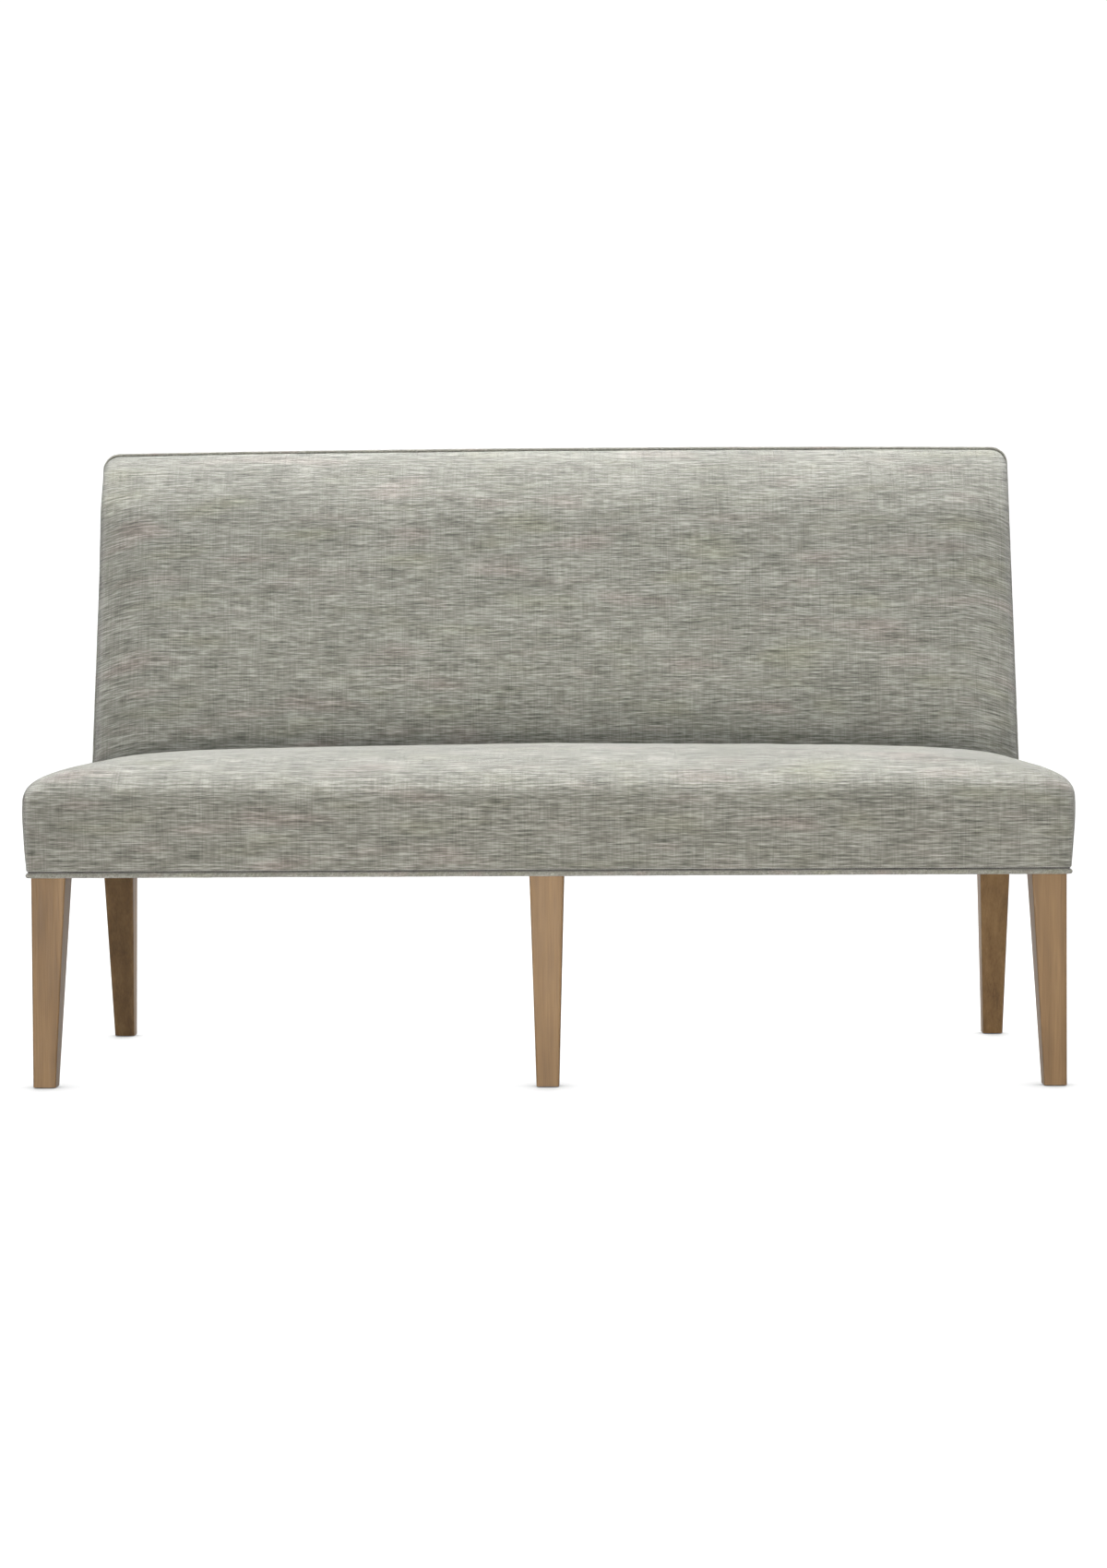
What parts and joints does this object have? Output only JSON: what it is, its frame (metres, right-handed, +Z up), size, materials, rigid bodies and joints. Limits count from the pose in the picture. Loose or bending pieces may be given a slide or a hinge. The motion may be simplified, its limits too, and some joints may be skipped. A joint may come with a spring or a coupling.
{
  "type": "dining banquette",
  "caption": "Armless upholstered dining bench with a crowned tight seat, a padded leaning back and tapered wood legs, raked at the rear.",
  "frame": {"origin": "on the floor, at the middle of the width and of the depth", "axes": "+X to the right as seen from the front, +Y from the front to the rear, +Z up"},
  "size_m": [1.575, 0.6916, 1.0151],
  "materials": {
    "leg_wood": "brown stained hardwood, satin",
    "frame_wood": "raw sawn hardwood",
    "cover_fabric": "grey slubby linen weave",
    "welt_fabric": "piping in the cover's own weave",
    "foam": "open-cell upholstery foam",
    "batting": "polyester batting",
    "webbing": "woven elastic webbing",
    "deck_cloth": "loose burlap",
    "dust_cloth": "black cambric",
    "board": "grey-brown upholstery board",
    "steel": "zinc-plated steel",
    "glide_plastic": "black nylon"
  },
  "bodies": {
    "root": {"front_left_leg": "leg_wood", "front_center_leg": "leg_wood", "front_right_leg": "leg_wood", "rear_left_post": "leg_wood", "rear_right_post": "leg_wood", "front_rail": "frame_wood", "rear_rail": "frame_wood", "left_side_rail": "frame_wood", "right_side_rail": "frame_wood", "center_rail": "frame_wood", "back_top_rail": "frame_wood", "back_lower_rail": "frame_wood", "back_center_stile": "frame_wood", "corner_blocks": "frame_wood", "seat_cover": "cover_fabric", "back_panel": "cover_fabric", "back_border": "cover_fabric", "outside_back_cover": "cover_fabric", "seat_welt": "welt_fabric", "back_welt": "welt_fabric", "seat_foam": "foam", "back_foam": "foam", "seat_batting": "batting", "back_batting": "batting", "seat_webbing_long": "webbing", "seat_webbing_cross": "webbing", "back_webbing": "webbing", "seat_deck_cloth": "deck_cloth", "dust_cover": "dust_cloth", "outside_back_board": "board", "corner_bolts": "steel", "center_leg_screws": "steel", "floor_glides": "glide_plastic"}
  },
  "joints": []
}
